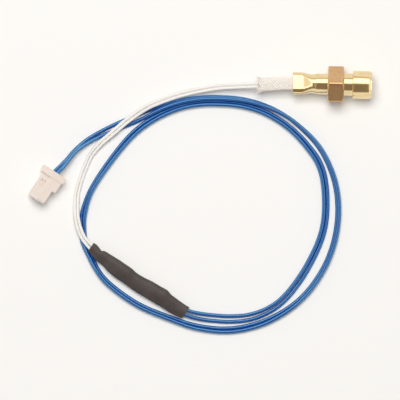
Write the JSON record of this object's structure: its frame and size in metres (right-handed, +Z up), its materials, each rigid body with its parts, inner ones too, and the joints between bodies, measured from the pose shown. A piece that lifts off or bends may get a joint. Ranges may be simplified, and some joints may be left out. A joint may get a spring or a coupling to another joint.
{
  "type": "temperature sensor",
  "caption": "Brass screw-body temperature probe with a hexagon, a crimped tail, a short woven sleeve, a heat-shrunk splice and a long two-core lead to a small connector.",
  "frame": {"origin": "under the middle of the brass body, on the surface that the sensor lies on", "axes": "+X along the brass body towards its sensing end, +Z up"},
  "size_m": [0.1214, 0.0963, 0.0147],
  "materials": {
    "brass": "turned, lightly dulled",
    "potting": "cured resin",
    "thermistor": "dipped bead",
    "tinned_metal": "tinned copper alloy",
    "glass_fibre": "woven glass fibre",
    "white_braid": "varnished glass braid",
    "splice_insulation": "plain tube",
    "heat_shrink": "shrunk tube, satin",
    "blue_insulation": "extruded lead insulation",
    "ivory_nylon": "moulded nylon"
  },
  "bodies": {
    "root": {"sensor_body": "brass", "potting_plug": "potting", "thermistor_bead": "thermistor", "thermistor_leg_1": "tinned_metal", "thermistor_leg_2": "tinned_metal", "glass_fibre_sleeve": "glass_fibre", "white_lead_1": "white_braid", "white_lead_2": "white_braid", "splice_ferrule_1": "tinned_metal", "splice_ferrule_2": "tinned_metal", "splice_sleeve_1": "splice_insulation", "splice_sleeve_2": "splice_insulation", "heat_shrink_tube": "heat_shrink", "blue_lead_1": "blue_insulation", "blue_lead_2": "blue_insulation", "connector_housing": "ivory_nylon", "contact_1": "tinned_metal", "contact_2": "tinned_metal"}
  },
  "joints": []
}
